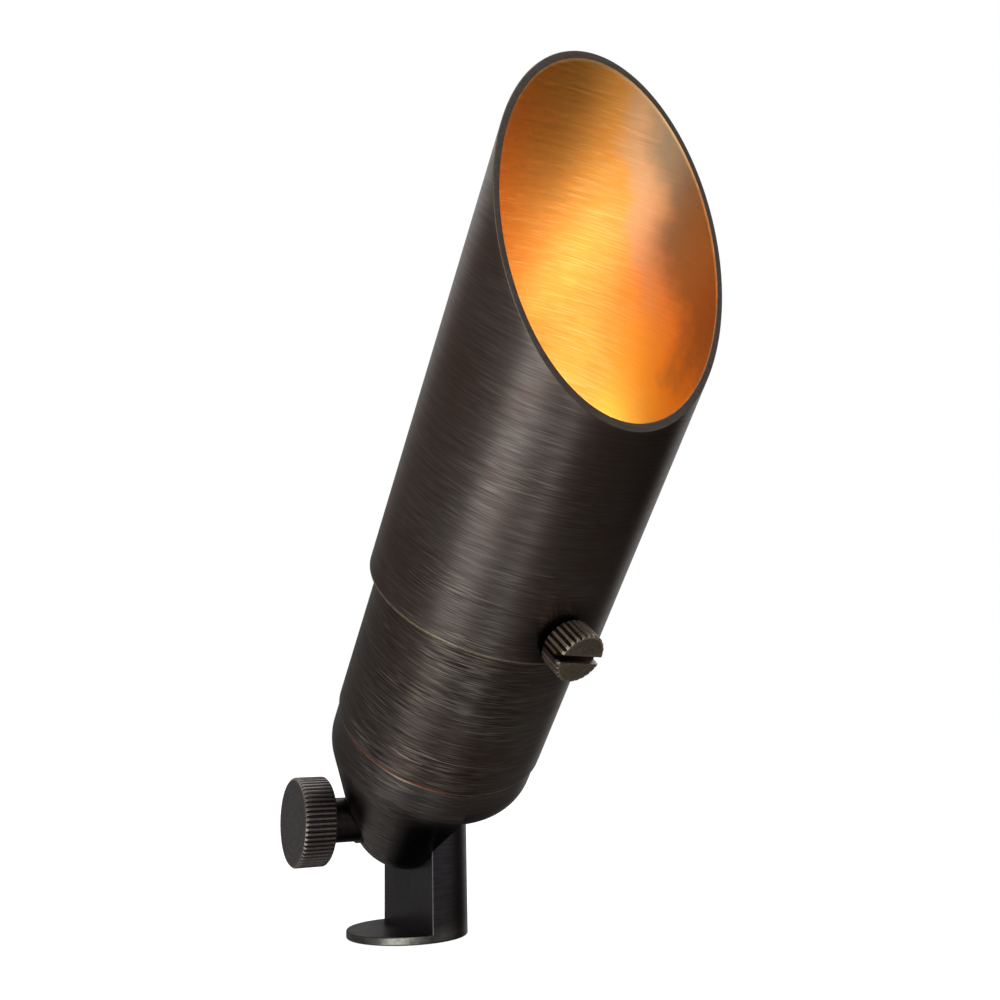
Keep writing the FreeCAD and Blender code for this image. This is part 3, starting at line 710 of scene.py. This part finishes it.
def make_cap():
    reach, above, seat_radius, seat_face = 40.0, 60.0, 6.9, -14.4
    neck = turned("cap_neck", neck_outline())
    combine(neck, box("half", (-reach, -reach, -reach), (NECK_FACE, reach, above)),
            "INTERSECT")
    combine(neck, rod("hollow", CAP_BORE, HOLLOW_BOTTOM, above, segments=SEGMENTS),
            "DIFFERENCE")
    groove = turned("groove", [(SEAL_BORE, SEAL_BOTTOM), (SEAL_GROOVE, SEAL_BOTTOM),
                               (SEAL_GROOVE, reach), (SEAL_BORE, reach)])
    combine(neck, groove, "DIFFERENCE")
    cap = turned("cap_dome", bowl_outline())
    combine(cap, neck, "UNION")
    combine(cap, rod("seat", seat_radius, -above, seat_face, "X"), "DIFFERENCE")
    combine(cap, rod("stud_hole", STUD_BORE, -20, 2, "X"), "DIFFERENCE")

    def share(place):
        """Leaves the flat's edge sharp where it runs out on the bowl."""
        on_flat = abs(place.x - NECK_FACE) < 0.05 and math.hypot(place.x, place.y) > 26
        return ramp_up(-place.z, -26.5, -24.5) if on_flat else 1.0

    soften_edges(cap, 0.28, share)

    def rubbed_and_painted_light(place):
        radius = max(math.hypot(place.x, place.y), TINY)
        flat_edge = near(place.x, NECK_FACE - 0.1, 0.45) * ramp_up(radius, 6.0, 9.0)
        outside = 1.0 if place.z < 17.5 else 0.0
        from_pin = math.hypot(place.y, place.z)
        keep = ramp_up(from_pin, 7.0, 10.0)
        seat = near(from_pin, seat_radius + 0.05, 0.4) * (1.0 if place.x < -14.6 else 0.0)
        rim = near(place.z, CAP_SHOULDER - 0.2, 0.5) * ramp_up(radius, 27.2, 27.6)
        # Painted shade on the neck's tip and middle, and beside the knob's shank
        deep = ramp_up(-place.z, -25, -21) * ramp_up(place.x / radius, -0.62, -0.46)
        painted_shade_by_shank = (ramp_up(-abs(place.y), -15.5, -9.5) * ramp_up(place.z, 5, 11)
                    * ramp_up(-place.z, -27, -19) * ramp_up(-place.x, 10, 14))
        return (0.25 * flat_edge * outside * keep + 0.25 * seat + 0.2 * rim
                - max(deep, 0.9 * painted_shade_by_shank))

    store_wear_and_painted_light(cap, rubbed_and_painted_light)
    set_in_place(cap, HEAD, "head", [bronze_cap], ["base_cap"])


def make_seam_ring():
    """The red seal: its lip shows in the seam on the knob's side, and is drawn in elsewhere."""
    inside, outside, lip, lip_edge = 26.22, 27.64, 28.12, 0.12
    outline = rounded([(inside, 33.62), (27.6, 33.62), (outside, 34.62),
                       (lip, 34.66, lip_edge), (lip, 34.96, lip_edge), (outside, 34.99),
                       (inside, 34.98)], 3)

    def trim(angle, radius, height):
        drawn_in = 0.3 * ramp_up(math.cos(angle), -0.35, -0.17)
        return radius - drawn_in if radius > 27.9 else radius

    piece = turned("seam_seal", [tuple(row) for row in outline], 256, trim)
    set_in_place(piece, HEAD, "head", [red_silicone], ["cap_oring"])


# Foot and post in one piece

def post_column():
    """Half a round column whose top is rounded the other way, in slices along X."""
    edge, sides, turns, slices = 0.4, 16, 64, 40
    base = 0.6
    depths = [edge * (1 - math.cos(math.radians(90) * step / 5)) for step in range(6)]
    depths += [edge + (FOOT_RADIUS - edge) * math.sin(math.radians(90) * step / slices)
               for step in range(1, slices + 1)]
    vertices = []
    for x in depths:
        radius = FOOT_RADIUS - 0.01
        if x < edge:
            radius -= edge - math.sqrt(edge ** 2 - (edge - x) ** 2)
        half = math.sqrt(max(radius ** 2 - x ** 2, 0.0))
        start = math.atan2(x, half)
        left = [(-half, base + (TILT_HEIGHT + x - base) * step / sides) for step in range(sides)]
        crown = []
        for step in range(turns + 1):
            turn = math.pi - start - (math.pi - 2 * start) * step / turns
            crown.append((radius * math.cos(turn), TILT_HEIGHT + radius * math.sin(turn)))
        right = [(-y, z) for y, z in reversed(left)]
        vertices += [(x, y, z) for y, z in left + crown + right]
    count = 2 * sides + turns + 1
    faces = [tuple(range(count))]
    for index in range(len(depths) - 1):
        for step in range(count):
            after = (step + 1) % count
            faces.append((index * count + step, index * count + after,
                          (index + 1) * count + after, (index + 1) * count + step))
    column = new_piece("column", vertices, faces)
    tidy_mesh(column, 0.0005)
    return column


def stake_hole(place):
    """A cutting block for the foot's threaded hole, whose thread is shown as rings."""
    core, root, mouth, pitch, top = 5.1, 5.55, 5.9, 1.15, 12.0
    outline = [(0, -1), (mouth, -1), (mouth, 0)]
    height = 0.8
    while height < top - 0.6:
        outline += [(core, height), (core, height + 0.3), (root, height + 0.65),
                    (root, height + 0.8)]
        height += pitch
    outline += [(core, top), (0, top)]
    hole = turned("stake_hole", outline, 96)
    hole.data.transform(Matrix.Translation(place))
    return hole


def make_foot():
    outline = rounded([(0, 0), (FOOT_RADIUS, 0, 0.5), (FOOT_RADIUS, FOOT_THICKNESS, 0.5),
                       (0, FOOT_THICKNESS)])
    rings = [(FOOT_RADIUS - step, FOOT_THICKNESS) for step in range(1, 17)]
    foot = turned("foot_and_post", [tuple(row) for row in outline[:-1]] + rings + [outline[-1]])
    combine(foot, post_column(), "UNION")
    groove_radius, inlet = 10.4, (7.4, 0, 0)
    pivot = (0, 0, TILT_HEIGHT)
    for radius, depth in ((12.37, 1.1), (groove_radius, 6.0), (STUD_BORE, 13.2)):
        combine(foot, rod("bore", radius, -2, depth, "X", pivot), "DIFFERENCE")
    for inner, outer, low, high, x in ((STUD_BORE, 5.7, -0.3, 6.2, 0.32),
                                       (groove_radius, 10.93, 0, 1.3, 0.02)):
        collar = turned("collar", [(inner, low), (outer, low), (outer, high), (inner, high)], 96)
        collar.data.transform(Matrix.Translation((x, 0, TILT_HEIGHT))
                              @ Matrix.Rotation(math.radians(90), 4, "Y"))
        combine(foot, collar, "UNION")
    combine(foot, rod("channel", 3.2, -1, 24.8, "Z", inlet), "DIFFERENCE")
    combine(foot, stake_hole(inlet), "DIFFERENCE")

    def rubbed_and_painted_light(place):
        radius = math.hypot(place.x, place.y)
        from_pin = math.hypot(place.y, place.z - TILT_HEIGHT)
        side = near(place.x, 0.12, 0.35) * ramp_up(abs(place.y), 16.3, 16.7)
        crown_edge = near(place.x, 0.12, 0.35) * ramp_up(from_pin, 16.3, 16.7)
        flat_edge = max(side, crown_edge if place.z > TILT_HEIGHT else 0.0)
        foot_edge = near(place.z, FOOT_THICKNESS - 0.1, 0.5) * ramp_up(radius, 16.3, 16.8)
        # The foot's rim carries a painted highlight, strongest at its front, and its top painted
        # shade, darkest by the post
        from_front = abs(math.degrees(math.atan2(place.y, place.x)) + 116)
        painted_rim_highlight = near(place.z, FOOT_THICKNESS / 2, 3) * ramp_up(radius, 16.8, 17)
        painted_rim_highlight *= 0.35 + 0.65 * ramp_up(-from_front, -24, -13)
        painted_shade_on_top = near(place.z, FOOT_THICKNESS, 0.1) * ramp_up(-place.x, 0.1, 0.8)
        corner = 0.25 + 0.7 * ramp_up(place.x - 0.4 * place.y, -13, -4)
        return (0.20 * flat_edge * ramp_up(place.z, 2.2, 2.6) - corner * painted_shade_on_top
                + 0.08 * foot_edge * (1.0 if place.z < FOOT_THICKNESS + 0.01 else 0.0)
                + 1.1 * painted_rim_highlight)

    store_wear_and_painted_light(foot, rubbed_and_painted_light)
    set_in_place(foot, FOOT, "base", [bronze_foot], ["base_bracket"])


# Knurled pieces. Shares of half a tooth that are flat on top and at the root:
KNURL_LAND = 0.42
KNURL_ROOT = 0.2


def ridges(teeth, outer, depth, land, root, crown=0.05):
    """Radius of a straight knurl at each angle, its ridges slightly crowned."""
    def radius_at(angle):
        share = abs((angle * teeth / (2 * math.pi) + 0.5) % 1.0 - 0.5) * 2
        if share < land:
            return outer - crown * (share / land) ** 2
        if share > 1 - root:
            return outer - depth
        slope = (share - land) / (1 - root - land)
        return outer - crown - (depth - crown) * slope
    return radius_at


def make_knob():
    outer, depth, teeth = 11.9, 0.65, 56
    low, high, chamfer = 25.0, 33.8, 0.55
    stud, stud_end, tip, shank, shank_end = 4.0, -11.8, 0.7, 6.0, 15.4
    knurl = ridges(teeth, outer, depth, KNURL_LAND, KNURL_ROOT)
    root = outer - depth
    outline = [(0, stud_end), (stud - tip, stud_end), (stud, stud_end + tip),
               (stud, shank_end), (shank, shank_end), (shank, low)]
    outline += [(7.5, low), (9.5, low), (root - 0.2, low), (outer - chamfer, low)]
    outline += [(outer - chamfer * (1 - step / 4), low + chamfer * step / 4)
                for step in range(1, 5)]
    outline += [(outer, low + chamfer + (high - low - 2 * chamfer) * step / 6)
                for step in range(1, 7)]
    outline += [(outer - chamfer * step / 4, high - chamfer + chamfer * step / 4)
                for step in range(1, 5)]
    outline += [(root - 0.15, high), (root - 0.5, high)]
    outline += [(root - 0.5 - step, high) for step in range(1, 10)] + [(0, high)]

    def trim(angle, radius, height):
        return min(radius, knurl(angle)) if radius > root - 0.1 else radius

    piece = turned("knob", outline, teeth * 12, trim)

    def rubbed_and_painted_light(place):
        radius = math.hypot(place.x, place.y)
        top = ramp_up(radius, outer - 0.28, outer - 0.06)
        ends = max(near(place.z, high, 0.75), 0.8 * near(place.z, low, 0.7))
        rim_line = near(place.z, high, 0.3) * ramp_up(radius, root - 0.7, root)
        valley = near(radius, root, 0.2)
        # Painted shade: the shank between the knob and the cap is darkened
        shank = 0.8 if radius < 6.5 and place.z < low + 0.1 else 0.0
        if place.z > high - 0.15:
            valley = 0.0
        return (0.12 * top + 0.35 * ends * ramp_up(radius, root - 0.05, outer - 0.4)
                + 0.15 * rim_line - 0.70 * valley - shank)

    store_wear_and_painted_light(piece, rubbed_and_painted_light)
    set_in_place(piece, KNOB, "knob", [bronze_knob], ["tilt_knob"], 40)


def make_thumbscrew():
    outer, depth, teeth = 6.6, 0.6, 26
    low, high, chamfer = 32.1, 39.0, 0.45
    shank, shank_end, collar, collar_low = 2.5, 29.37, 5.2, 31.35
    slot_half, slot_floor_height, slot_turn = 1.0, high - 1.9, math.radians(-8.5)
    knurl = ridges(teeth, outer, depth, KNURL_LAND, KNURL_ROOT)
    root = outer - depth
    outline = [(0, shank_end), (2.3, shank_end), (shank, 29.6), (shank, collar_low),
               (5.0, collar_low), (collar, 31.5), (collar, low), (outer - chamfer, low)]
    outline += [(outer - chamfer * (1 - step / 4), low + chamfer * step / 4)
                for step in range(1, 5)]
    outline += [(outer, low + chamfer + (high - low - 2 * chamfer) * step / 5)
                for step in range(1, 6)]
    outline += [(outer - chamfer * step / 4, high - chamfer + chamfer * step / 4)
                for step in range(1, 5)]
    outline += [(root - 0.25 * step, high) for step in range(1, 24)] + [(0, high)]

    def trim(angle, radius, height):
        return min(radius, knurl(angle)) if radius > root - 0.001 else radius

    piece = turned("thumb_knob", outline, teeth * 14, trim)
    slot = box("slot", (-slot_half, -9, slot_floor_height), (slot_half, 9, high + 2))
    slot.data.transform(Matrix.Rotation(slot_turn, 4, "Z"))
    combine(piece, slot, "DIFFERENCE")

    def rubbed_and_painted_light(place):
        radius = math.hypot(place.x, place.y)
        top = ramp_up(radius, outer - 0.3, outer - 0.05)
        end = near(place.z, high, 0.7) * ramp_up(radius, root - 0.3, root + 0.1)
        slot_edge = near(abs(place.x), slot_half, 0.4) * near(place.z, high, 0.3)
        face = 0.30 if place.z > high - 0.02 else 0.0
        valley = near(radius, root, 0.25)
        if place.z > high - 0.3:
            valley = 0.0
        slot_floor = 0.9 if abs(place.x) < 0.95 and place.z < high - 1.5 else 0.0
        return 0.3 * top + 0.6 * end + 0.3 * slot_edge + face - 0.9 * valley - slot_floor

    store_wear_and_painted_light(piece, rubbed_and_painted_light)
    set_in_place(piece, THUMB, "thumb", [bronze_thumb], ["thumbscrew"], 40)


# Pieces that keep their modelled shape and get a finish

red_silicone = soft_rubber("red_silicone", (0.62, 0.06, 0.02), 0.38)
FINISHES = {
    "swivel_oring": soft_rubber("black_rubber", (0.02, 0.02, 0.02)),
    "knob_washer": plain_metal("dull_steel_washer", (0.36, 0.35, 0.34), 0.34),
    "swivel_washer": plain_metal("dull_steel_shim", (0.28, 0.27, 0.26), 0.4),
    "wire_grommet": soft_rubber("black_grommet", (0.025, 0.025, 0.025)),
    "socket_bracket": plain_metal("zinc_plate", (0.66, 0.67, 0.70), 0.3),
    "bracket_screws": plain_metal("zinc_screws", (0.70, 0.71, 0.73), 0.25),
    "socket_rivet": plain_metal("zinc_rivet", (0.68, 0.69, 0.71), 0.28),
    "lamp_socket": fired_ceramic("socket_ceramic", (0.84, 0.81, 0.75)),
    "socket_contacts": plain_metal("contact_brass", (0.86, 0.66, 0.32), 0.22),
    "lamp_pins": plain_metal("pin_steel", (0.78, 0.78, 0.76), 0.2),
    "lamp_base": fired_ceramic("lamp_ceramic", (0.86, 0.84, 0.80)),
    "lamp_reflector": mirror_coat("lamp_mirror"),
    "lamp_burner": clear_glass("burner_glass", (0.98, 0.95, 0.88), 0.05),
    "lamp_cover": clear_glass("cover_glass", (0.97, 0.98, 0.98)),
    "lens_gasket": soft_rubber("grey_silicone", (0.30, 0.30, 0.31), 0.45),
    "lens": clear_glass("lens_glass", (0.95, 0.98, 0.97)),
    "lens_ring": antique_brass("antique_brass_lens_ring", HEAD, 1.0, 0.8, 410.0),
    "shroud_ring": plain_metal("friction_ring", (0.42, 0.30, 0.18), 0.35),
    "thumb_pad": soft_rubber("pad_plastic", (0.78, 0.76, 0.70), 0.5),
}
for node, material in FINISHES.items():
    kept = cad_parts[node]
    kept.data.materials.clear()
    kept.data.materials.append(material)

make_shroud()
make_body()
make_cap()
make_seam_ring()
make_foot()
make_knob()
make_thumbscrew()


# Floor, light and camera

def make_floor():
    half = 3000.0
    floor = new_piece("floor", [(-half * MM, -half * MM, 0), (half * MM, -half * MM, 0),
                                (half * MM, half * MM, 0), (-half * MM, half * MM, 0)],
                      [(0, 1, 2, 3)])
    graph = Graph("pale_floor")
    grain = graph.noise(graph.add("TexCoord").outputs["Object"], 40.0, 3.0)
    tone = graph.mix(grain, (0.80, 0.80, 0.80), (0.84, 0.84, 0.84))
    graph.set(Base_Color=tone, Roughness=0.9, Emission_Color=(1.0, 1.0, 1.0, 1.0),
              Emission_Strength=0.92)
    floor.data.materials.append(graph.material)
    floor.visible_glossy = False
    floor.visible_diffuse = False
    floor.visible_shadow = False


def make_world():
    """Soft studio light all round: a broad band in front of the object and a pale sky."""
    world = bpy.data.worlds.new("studio")
    bpy.context.scene.world = world
    graph = Graph("studio", world)
    ray = graph.add("TexCoord").outputs["Generated"]
    axis = HEAD.to_3x3() @ Vector((0, 0, 1))
    front = Vector((-0.5298, -0.6303, -0.5678))
    side = axis.cross(front)
    ahead = graph.vector("DOT_PRODUCT", ray, front)
    beside = graph.vector("DOT_PRODUCT", ray, side)
    above = graph.vector("DOT_PRODUCT", ray, axis)
    turn = graph.maths("DIVIDE", graph.maths("ARCTAN2", beside, ahead), 2 * math.pi)
    turn = graph.maths("ADD", turn, 0.5)

    def ramp(stops, red=0.0):
        """Brightness by degrees round the head's axis, from (degrees, brightness) stops.
        Dark stops are tinted by the share red."""
        node = graph.add("ValToRGB")
        node.color_ramp.interpolation = "EASE"
        elements = node.color_ramp.elements
        while len(elements) < len(stops):
            elements.new(0.5)
        for element, (degrees, value) in zip(elements, stops):
            element.position = degrees / 360 + 0.5
            deep = red * max(0.0, 1 - value / 0.2)
            element.color = (value * (1 + deep), value * (1 - 0.3 * deep), value * (1 - deep), 1)
        graph.put(node.inputs[0], turn)
        return node.outputs[0]

    # One band of light for each range of angles between the ray and the head's axis
    high_band = ramp([(-180, 0.20), (-120, 0.10), (-60, 0.14), (-38, 0.30), (-26, 1.0),
                      (-4, 1.0), (8, 0.25), (30, 0.18), (60, 0.12), (85, 0.19),
                      (120, 0.20), (140, 0.08), (160, 0.15), (180, 0.20)])
    shroud_band = ramp([(-180, 0.18), (-150, 0.17), (-120, 0.12), (-85, 0.125), (-62, 0.17),
                        (-42, 0.27), (-31, 0.94), (-17, 0.94), (-5, 0.40), (8, 0.28),
                        (15, 0.45), (21, 0.43), (30, 0.10), (52, 0.035), (90, 0.020),
                        (128, 0.012), (148, 0.32), (180, 0.60)], 0.3)
    body_band = ramp([(-180, 0.14), (-150, 0.12), (-120, 0.095), (-85, 0.085), (-62, 0.07),
                      (-42, 0.07), (-30, 0.14), (-17, 0.15), (-5, 0.09), (8, 0.085),
                      (16, 0.14), (27, 0.13), (37, 0.10), (60, 0.11), (90, 0.11),
                      (132, 0.09), (156, 0.32), (180, 0.44)])
    under_band = ramp([(-180, 0.10), (-120, 0.14), (-80, 0.19), (-50, 0.19), (-30, 0.08),
                       (-12, 0.03), (30, 0.03), (60, 0.004), (120, 0.03), (180, 0.10)])
    light = graph.mix(graph.spread(above, -0.56, -0.38), body_band, shroud_band)
    light = graph.mix(graph.spread(above, -0.84, -0.62), under_band, light)
    light = graph.mix(graph.spread(above, -0.985, -0.95), (0.10, 0.10, 0.10), light)
    light = graph.mix(graph.spread(above, -0.05, 0.35), light, high_band)
    sky = graph.vector("DOT_PRODUCT", ray, Vector((0.1, 0.25, 0.96)).normalized())
    glow = graph.spread(sky, 0.50, 0.95, 0.0, 0.5)
    light = graph.mix(1.0, light, glow, "ADD")
    shown = graph.add("LightPath").outputs["Is Camera Ray"]
    light = graph.mix(shown, light, (1.0, 1.0, 1.0))
    graph.set(Color=light, Strength=1.0)


def make_lamp_light(name, energy, size, spread, place, aim):
    """Warm light inside the shroud, from a place towards another, both on the head."""
    data = bpy.data.lights.new(name, "AREA")
    data.shape = "DISK"
    data.size = size * MM
    data.energy = energy
    data.spread = math.radians(spread)
    data.color = (1.0, 0.92, 0.76)
    light = bpy.data.objects.new(name, data)
    bpy.context.scene.collection.objects.link(light)
    start = HEAD @ Vector(place)
    turn = (start - HEAD @ Vector(aim)).to_track_quat("Z", "Y").to_matrix().to_4x4()
    light.matrix_world = Matrix.Translation(start * MM) @ turn
    light.visible_camera = False
    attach(light, "head")


def make_camera():
    """The photo's own view, as fitted to its outlines."""
    data = bpy.data.cameras.new("camera")
    data.lens = 37.2004
    data.sensor_width = 36.0
    data.clip_start = 0.01
    data.clip_end = 20.0
    camera = bpy.data.objects.new("camera", data)
    bpy.context.scene.collection.objects.link(camera)
    right = Vector((0.87765, -0.47867, -0.02474))
    up = Vector((-0.08982, -0.21496, 0.97248))
    backward = right.cross(up)
    rotation = Matrix((right, up, backward)).transposed().to_4x4()
    place = Matrix.Translation(Vector((-124.68, -285.627, 50.894)) * MM)
    camera.matrix_world = place @ rotation
    bpy.context.scene.camera = camera


make_floor()
make_world()
# Each lamp light: name, watts, size, spread in degrees, place and aim on the head
make_lamp_light("lamp_glow", 0.0152, 40, 180, (0, 0, 114), (0, 0, 150))
make_lamp_light("lamp_beam", 0.003, 20, 60, (0, 0, 114), (15, 25, 172))
make_lamp_light("wall_glow_tip", 0.0095, 14, 50, (-6, -10, 120), (-2, 29, 195))
make_lamp_light("wall_glow_side", 0.005, 14, 60, (6, -10, 120), (-12, 26, 172))
make_camera()
bpy.context.scene.view_settings.view_transform = "Standard"
